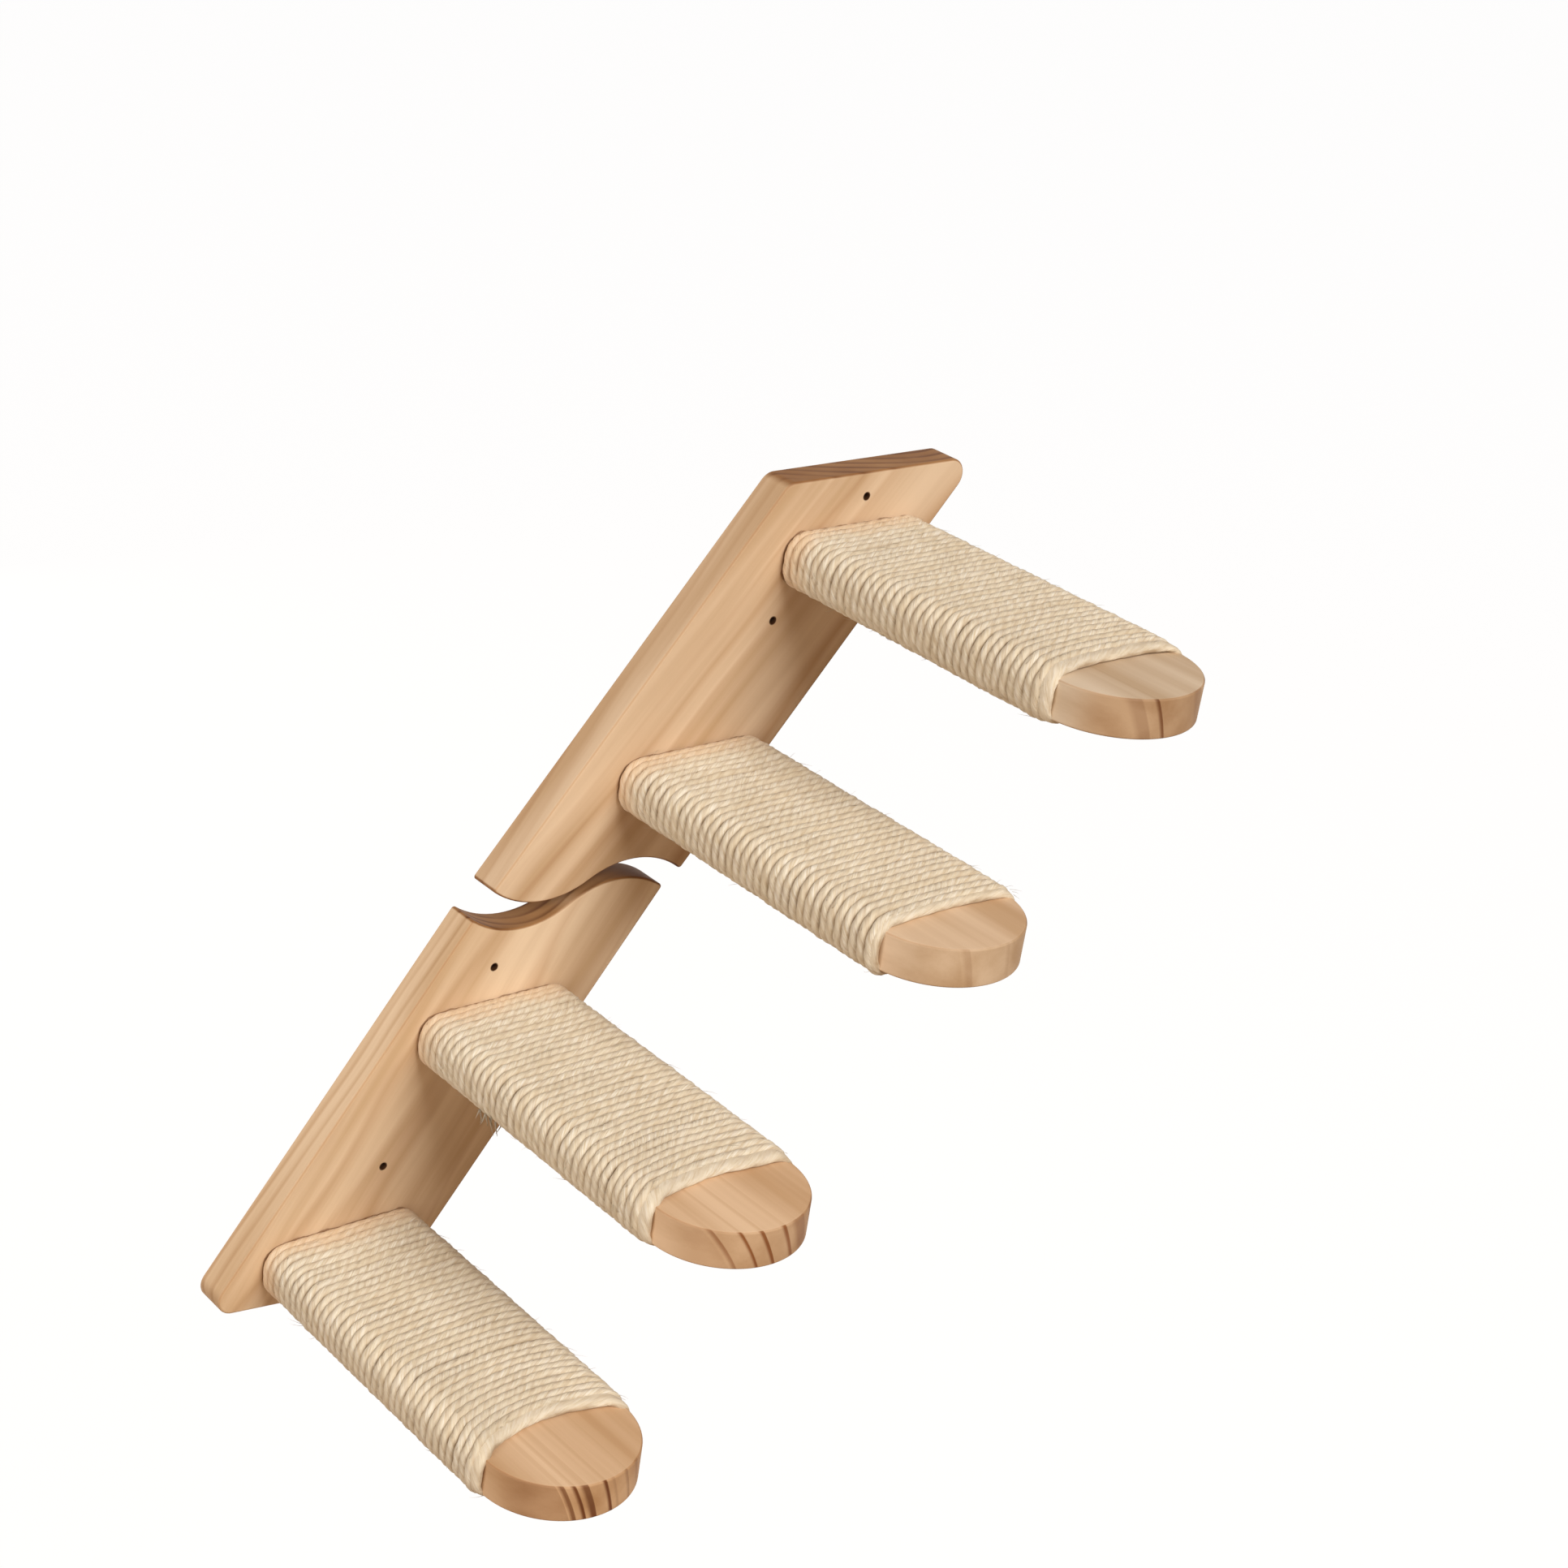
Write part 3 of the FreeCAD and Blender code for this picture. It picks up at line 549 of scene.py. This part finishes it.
def loose_fibres(number, route):
    """Fine fibres that stand off the rope, each as a line of four points that grows thinner."""
    chance = random.Random(number)
    lines = []
    for _ in range(FIBRES):
        start = chance.randrange(12, len(route) - 12)
        place, out = route[start][:2]
        ahead = (route[start + 4][0] - place).normalized() * chance.choice((-1, 1))
        aside = Vector((0, chance.uniform(-0.6, 0.6), 0))
        length = chance.uniform(*FIBRE_LENGTHS)
        rise = chance.uniform(0.1, 1.0) ** 3 * FIBRE_RISE
        root = place + out * ROPE_RADIUS * 0.95
        lines.append([(root + (ahead + aside) * length * way + out * rise * math.sin(math.pi * way * 0.8),
                       0, 1.2 - way) for way in FIBRE_POINTS])
    count, near, far = TUFT.get(number, (0, 0, 0))
    edge = [place + out * ROPE_RADIUS for place, out, _, _ in route
            if out.x < -0.3 and out.z < -0.3 and near < route[0][0].y - place.y < far]
    for _ in range(count):
        root = chance.choice(edge)
        drop = Vector((chance.uniform(-0.5, 0.5), chance.uniform(-0.6, 0.6), -1))
        curl = Vector((chance.uniform(-1, 1), chance.uniform(-1, 1), 0)) * TUFT_CURL
        length = chance.uniform(*TUFT_LENGTHS) * MM
        lines.append([(root + drop.normalized() * length * way + curl * way ** 2,
                       0, TUFT_THICKER * (1.2 - way)) for way in FIBRE_POINTS])
    return lines


def sweep(name, lines, section=None):
    """A mesh along lines of points, each with its tilt and thickness: a section, or a fine fibre."""
    curve = bpy.data.curves.new(name, "CURVE")
    curve.dimensions = "3D"
    curve.bevel_resolution = 0
    curve.bevel_depth = FIBRE_RADIUS
    if section:
        curve.bevel_mode = "OBJECT"
        curve.bevel_object = section
    for line in lines:
        spline = curve.splines.new("POLY")
        spline.points.add(len(line) - 1)
        for spot, (place, tilt, thick) in zip(spline.points, line):
            spot.co = (*place, 1)
            spot.tilt = tilt
            spot.radius = thick
    mesh = mesh_of(curve, name)
    mesh.attributes.new("crown", "FLOAT", "POINT")
    mesh.attributes.new("pressed", "FLOAT", "POINT")
    return mesh


def wound_rope(number, section):
    """The winding of one step as a mesh.

    Its map runs along the rope and round it. Its crown is how far out a point lies, and it
    is pressed on its last turn.
    """
    route = rope_route(number)
    wider = WINDINGS[number][2]
    mesh = sweep(f"rope_{number}", [[(place, twist, 1) for place, _, twist, _ in route]], section)
    sides = STRANDS * len(STRAND_SHARES)
    for i, (place, out, twist, flat) in enumerate(route):
        for j in range(i * sides, (i + 1) * sides):
            from_middle = mesh.vertices[j].co - place
            height = from_middle.dot(out)
            beside = from_middle - out * height
            mesh.attributes["crown"].data[j].value = height / ROPE_RADIUS
            mesh.attributes["pressed"].data[j].value = flat
            lower = FLAT_LOWER * flat * (height + ROPE_RADIUS)
            mesh.vertices[j].co = place + beside * (WOUND_WIDER + wider * flat) + out * (height - lower)
    length = sum((b[0] - a[0]).length for a, b in zip(route, route[1:]))
    for corner in mesh.uv_layers[0].data:
        corner.uv = (corner.uv.x * length, corner.uv.y * math.tau * ROPE_RADIUS)
    fibres = sweep(f"fibres_{number}", loose_fibres(number, route))
    for spot in fibres.attributes["crown"].data:
        spot.value = 1.0
    form = bmesh.new()
    form.from_mesh(mesh)
    form.from_mesh(fibres)
    form.to_mesh(mesh)
    form.free()
    return mesh


# The patterns on the rope, along it and round it: fibres, drawn coarser than real ones,
# bundles of them, and paler and darker patches.
SISAL_FIBRE = (2.7 * MM, 0.24 * MM)
SISAL_BUNDLE = (1.5 * MM, 0.54 * MM)
SISAL_PATCH = (24 * MM, 9 * MM)
# Patches that don't follow the rope: where the painted shade in its creases is stronger, and how
# unevenly it is tinted toward the wood's colour. That tint fades out between these two places
# along Y, and its edge wanders by so much.
CREASE_SHADE_PATCH = 9 * MM
WOODEN_PATCH = 7 * MM
WOODEN_FADE = (-54 * MM, -34 * MM)
WOODEN_UNEVEN = 24 * MM


def sisal(name):
    """Twisted sisal: dry cream fibres along the strands, matt, with painted shade browning the grooves
    and the creases.
    """
    material, tree = finish_of(name)
    place = add(tree, "ShaderNodeTexCoord")
    lie = add(tree, "ShaderNodeSeparateXYZ", {0: place.outputs["UV"]})
    patterns = []
    for size in (SISAL_FIBRE, SISAL_BUNDLE, SISAL_PATCH):
        patterns.append(add(tree, "ShaderNodeVectorMath", {
            0: place.outputs["UV"], 1: (scale_for(size[0]), scale_for(size[1]), 1)},
            operation="MULTIPLY"))
    fibres = add(tree, "ShaderNodeTexNoise", {
        "Vector": patterns[0].outputs[0], "Scale": 1.0, "Detail": 3.0, "Roughness": 0.65})
    bundles = add(tree, "ShaderNodeTexNoise", {
        "Vector": patterns[1].outputs[0], "Scale": 1.0, "Detail": 1.0})
    patch = add(tree, "ShaderNodeTexNoise", {
        "Vector": patterns[2].outputs[0], "Scale": 1.0, "Detail": 2.0})
    slow = add(tree, "ShaderNodeTexNoise", {
        "Vector": place.outputs["Object"], "Scale": scale_for(WOODEN_PATCH), "Detail": 2.0})
    groove = add(tree, "ShaderNodeMath", {
        0: lie.outputs["Y"], 1: STRANDS / ROPE_RADIUS}, operation="MULTIPLY")
    groove = add(tree, "ShaderNodeMath", {0: groove.outputs[0]}, operation="COSINE")
    groove = add(tree, "ShaderNodeMapRange", {
        "Value": groove.outputs[0], "From Min": -1.0, "From Max": 0.3, "To Min": 1.0, "To Max": 0.0})
    shade = add(tree, "ShaderNodeValToRGB", {"Fac": fibres.outputs[0]}, stops=(
        (0.3, "#c8b391"), (0.44, "#e0d3b8"), (0.58, "#ebe2cf"), (0.72, "#f4f1e6")))
    # Its tone changes a little on its way, so one turn is not quite as pale as the next.
    patch = add(tree, "ShaderNodeMapRange", {
        "Value": patch.outputs[0], "From Min": 0.35, "From Max": 0.65, "To Min": 0.0, "To Max": 0.6})
    body = add(tree, "ShaderNodeMix", {
        0: patch.outputs[0], 6: shade.outputs[0], 7: linear("#d9c8a9")}, data_type="RGBA")
    # The last turn is smoother and paler.
    pressed = add(tree, "ShaderNodeAttribute", attribute_name="pressed")
    loose = add(tree, "ShaderNodeMapRange", {
        "Value": pressed.outputs["Fac"], "To Min": 0.2, "To Max": 0.12})
    smooth = add(tree, "ShaderNodeMath", {0: pressed.outputs["Fac"], 1: 0.3}, operation="MULTIPLY")
    body = add(tree, "ShaderNodeMix", {
        0: smooth.outputs[0], 6: body.outputs[2], 7: linear("#ecdcc0")}, data_type="RGBA")
    # Down in the grooves between the strands it is painted browner, less on the pressed last turn:
    # painted shade.
    groove_shade = add(tree, "ShaderNodeMath", {0: groove.outputs[0], 1: loose.outputs[0]}, operation="MULTIPLY")
    body = add(tree, "ShaderNodeMix", {
        0: groove_shade.outputs[0], 6: body.outputs[2], 7: linear("#a98455")}, data_type="RGBA")
    # Down between two turns it is painted brown, as painted shade, more in some places than in others.
    crown = add(tree, "ShaderNodeAttribute", attribute_name="crown")
    crease_shade = add(tree, "ShaderNodeMapRange", {
        "Value": crown.outputs["Fac"], "From Min": 0.2, "From Max": 0.8, "To Min": 0.75, "To Max": 0.0})
    uneven = add(tree, "ShaderNodeTexNoise", {
        "Vector": place.outputs["Object"], "Scale": scale_for(CREASE_SHADE_PATCH), "Detail": 4.0,
        "Roughness": 0.7})
    uneven = add(tree, "ShaderNodeMapRange", {
        "Value": uneven.outputs[0], "From Min": 0.38, "From Max": 0.62, "To Min": 0.05, "To Max": 1.0})
    crease_shade = add(tree, "ShaderNodeMath", {
        0: crease_shade.outputs[0], 1: uneven.outputs[0]}, operation="MULTIPLY")
    body = add(tree, "ShaderNodeMix", {
        0: crease_shade.outputs[0], 6: body.outputs[2], 7: linear("#9c7e58")}, data_type="RGBA")
    # Near the board the rope is tinted toward the wood's colour.
    depth = add(tree, "ShaderNodeSeparateXYZ", {0: place.outputs["Object"]})
    depth = add(tree, "ShaderNodeMath", {
        0: slow.outputs[0], 1: -WOODEN_UNEVEN, 2: depth.outputs["Y"]}, operation="MULTIPLY_ADD")
    near = add(tree, "ShaderNodeMapRange", {
        "Value": depth.outputs[0], "From Min": WOODEN_FADE[0], "From Max": WOODEN_FADE[1],
        "To Min": 0.0, "To Max": 0.5}, interpolation_type="SMOOTHSTEP")
    body = add(tree, "ShaderNodeMix", {
        0: near.outputs[0], 6: body.outputs[2], 7: linear("#d9b083")}, data_type="RGBA")
    # Its surface is rough with fibres and with bundles of them.
    height = add(tree, "ShaderNodeMath", {0: bundles.outputs[0], 1: 1.2, 2: fibres.outputs[0]},
                 operation="MULTIPLY_ADD")
    bump = add(tree, "ShaderNodeBump", {
        "Height": height.outputs[0], "Strength": 0.8, "Distance": 0.5 * MM})
    shader = add(tree, "ShaderNodeBsdfPrincipled", {
        "Base Color": body.outputs[2], "Roughness": 0.82, "IOR": 1.5, "Specular IOR Level": 0.25,
        "Sheen Weight": 0.15, "Normal": bump.outputs[0]})
    add(tree, "ShaderNodeOutputMaterial", {"Surface": shader.outputs[0]})
    return material


sisal_finish = sisal("twisted sisal")
section = rope_section()
for number in PLANKS:
    rope = bpy.data.objects.new(f"step_{number}_rope", wound_rope(number, section))
    bpy.context.collection.objects.link(rope)
    dress(rope, sisal_finish)
    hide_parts(f"step_{number}_sisal")
    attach(rope, "root")
bpy.data.objects.remove(section)


# Bolts, washers, inserts and tacks: two of each to every step. Zinc-plated socket-head bolts
# and washers come in from the board's back and show only there, down in their counterbores.
# Brass inserts hide in the planks' end grain, and blued steel tacks hold the rope below.


def turned_metal(name, colour, roughness, mark_width):
    """Plated or turned metal, a little uneven in tone and gloss, with fine marks this wide."""
    material, tree = finish_of(name)
    place = add(tree, "ShaderNodeTexCoord")
    marks = add(tree, "ShaderNodeTexNoise", {
        "Vector": place.outputs["Object"], "Scale": scale_for(mark_width), "Detail": 3.0})
    tint = add(tree, "ShaderNodeMapRange", {
        "Value": marks.outputs[0], "From Min": 0.3, "From Max": 0.7, "To Min": 0.88, "To Max": 1.04})
    tint = add(tree, "ShaderNodeMix", {
        0: 1.0, 6: linear(colour), 7: tint.outputs[0]}, data_type="RGBA", blend_type="MULTIPLY")
    rough = add(tree, "ShaderNodeMapRange", {
        "Value": marks.outputs[0], "To Min": roughness - 0.08, "To Max": roughness + 0.12})
    bump = add(tree, "ShaderNodeBump", {
        "Height": marks.outputs[0], "Strength": 0.2, "Distance": 0.05 * MM})
    shader = add(tree, "ShaderNodeBsdfPrincipled", {
        "Base Color": tint.outputs[2], "Metallic": 1.0, "Roughness": rough.outputs[0],
        "Normal": bump.outputs[0]})
    add(tree, "ShaderNodeOutputMaterial", {"Surface": shader.outputs[0]})
    return material


METALS = {
    "bolts": turned_metal("zinc-plated steel bolt", "#9da1a4", 0.32, 0.5 * MM),
    "washers": turned_metal("zinc-plated steel washer", "#b3b6b8", 0.3, 0.6 * MM),
    "inserts": turned_metal("turned brass", "#c9a45c", 0.3, 0.4 * MM),
    "tacks": turned_metal("blued steel tack", "#8a8d92", 0.36, 0.4 * MM),
}
for number in PLANKS:
    for kind, finish in METALS.items():
        dress(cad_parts[f"step_{number}_{kind}"], finish)

# Room: a plain pale floor below the object, seen as white, which throws warm light upward.
# Soft light comes from above, from the left and from behind, and a little warm light from
# all round. The background is white to the camera and in reflections only.
FLOOR_DROP = 0.5
FLOOR_SIZE = 80.0
FLOOR_COLOUR = "#a4865e"
# How much of the floor that the camera sees is plain white, and how strong that white is.
FLOOR_WHITE = 0.85
WHITE_STRENGTH = 1.15
low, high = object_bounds()
centre = (low + high) / 2
form = bmesh.new()
bmesh.ops.create_grid(form, x_segments=1, y_segments=1, size=FLOOR_SIZE / 2)
bmesh.ops.translate(form, verts=form.verts, vec=(centre.x, centre.y, low.z - FLOOR_DROP))
floor = bpy.data.objects.new("floor", bpy.data.meshes.new("floor"))
form.to_mesh(floor.data)
form.free()
bpy.context.collection.objects.link(floor)
material, tree = finish_of("pale studio floor")
seen = add(tree, "ShaderNodeLightPath")
seen = add(tree, "ShaderNodeMath", {
    0: seen.outputs["Is Camera Ray"], 1: seen.outputs["Is Glossy Ray"]}, operation="MAXIMUM")
seen = add(tree, "ShaderNodeMath", {0: seen.outputs[0], 1: FLOOR_WHITE}, operation="MULTIPLY")
matt = add(tree, "ShaderNodeBsdfDiffuse", {"Color": linear(FLOOR_COLOUR)})
bright = add(tree, "ShaderNodeEmission", {"Color": linear("#ffffff"), "Strength": WHITE_STRENGTH})
both = add(tree, "ShaderNodeMixShader", {0: seen.outputs[0], 1: matt.outputs[0], 2: bright.outputs[0]})
add(tree, "ShaderNodeOutputMaterial", {"Surface": both.outputs[0]})
dress(floor, material)

WORLD_LIGHT = 0.16
FILL_COLOUR = "#ffbe78"
world = bpy.data.worlds.new("studio")
bpy.context.scene.world = world
world.use_nodes = True
tree = world.node_tree
tree.nodes.clear()
rays = add(tree, "ShaderNodeLightPath")
seen = add(tree, "ShaderNodeMath", {
    0: rays.outputs["Is Camera Ray"], 1: rays.outputs["Is Glossy Ray"]}, operation="MAXIMUM")
seen = add(tree, "ShaderNodeMath", {
    0: seen.outputs[0], 1: rays.outputs["Is Transmission Ray"]}, operation="MAXIMUM")
strength = add(tree, "ShaderNodeMapRange", {
    "Value": seen.outputs[0], "To Min": WORLD_LIGHT, "To Max": 1.0})
shine = add(tree, "ShaderNodeMix", {
    0: seen.outputs[0], 6: linear(FILL_COLOUR), 7: linear("#ffffff")}, data_type="RGBA")
sky = add(tree, "ShaderNodeBackground", {"Color": shine.outputs[2], "Strength": strength.outputs[0]})
add(tree, "ShaderNodeOutputWorld", {"Surface": sky.outputs[0]})

# Each lamp: where it stands from the object's middle, how wide it is, its power and its tint.
LAMPS = {
    "overhead softbox": ((0.05, -3.05, 2.65), 2.2, 153.0, "#ffffff"),
    "left softbox": ((-1.7, -0.27, 0.5), 1.4, 18.5, "#ffffff"),
    "back softbox": ((0.0, 2.4, -0.1), 1.4, 26.0, "#ffffff"),
}
for name, (stand, width, power, tint) in LAMPS.items():
    lamp = bpy.data.lights.new(name, "AREA")
    lamp.size = width
    lamp.energy = power
    lamp.color = linear(tint)[:3]
    holder = bpy.data.objects.new(name, lamp)
    bpy.context.collection.objects.link(holder)
    holder.location = centre + Vector(stand)
    holder.rotation_euler = Vector(stand).to_track_quat("Z", "Y").to_euler()

# Camera: from the upper left in front of the wall, as the photograph was taken. It is
# rolled a little, and its picture is shifted, because the object fills the lower left.
CAMERA_PLACE = Vector((-794.9, -1130.7, 862.4)) * MM
CAMERA_YAW = math.radians(39.69)
CAMERA_PITCH = math.radians(28.35)
CAMERA_ROLL = math.radians(6.74)
FOCAL_LENGTH = 66.38
SENSOR_WIDTH = 36.0
PICTURE_SHIFT = 0.1294
ahead = Vector((math.sin(CAMERA_YAW) * math.cos(CAMERA_PITCH),
                math.cos(CAMERA_YAW) * math.cos(CAMERA_PITCH), -math.sin(CAMERA_PITCH)))
level = Vector((math.cos(CAMERA_YAW), -math.sin(CAMERA_YAW), 0))
upright = level.cross(ahead)
right = level * math.cos(CAMERA_ROLL) + upright * math.sin(CAMERA_ROLL)
top = upright * math.cos(CAMERA_ROLL) - level * math.sin(CAMERA_ROLL)
camera = bpy.data.objects.new("camera", bpy.data.cameras.new("camera"))
bpy.context.collection.objects.link(camera)
turn = Matrix((right, top, -ahead)).transposed()
camera.matrix_world = Matrix.Translation(CAMERA_PLACE) @ turn.to_4x4()
camera.data.sensor_width = SENSOR_WIDTH
camera.data.lens = FOCAL_LENGTH
camera.data.shift_x = PICTURE_SHIFT
camera.data.shift_y = PICTURE_SHIFT
bpy.context.scene.camera = camera
bpy.context.scene.view_settings.view_transform = "Standard"
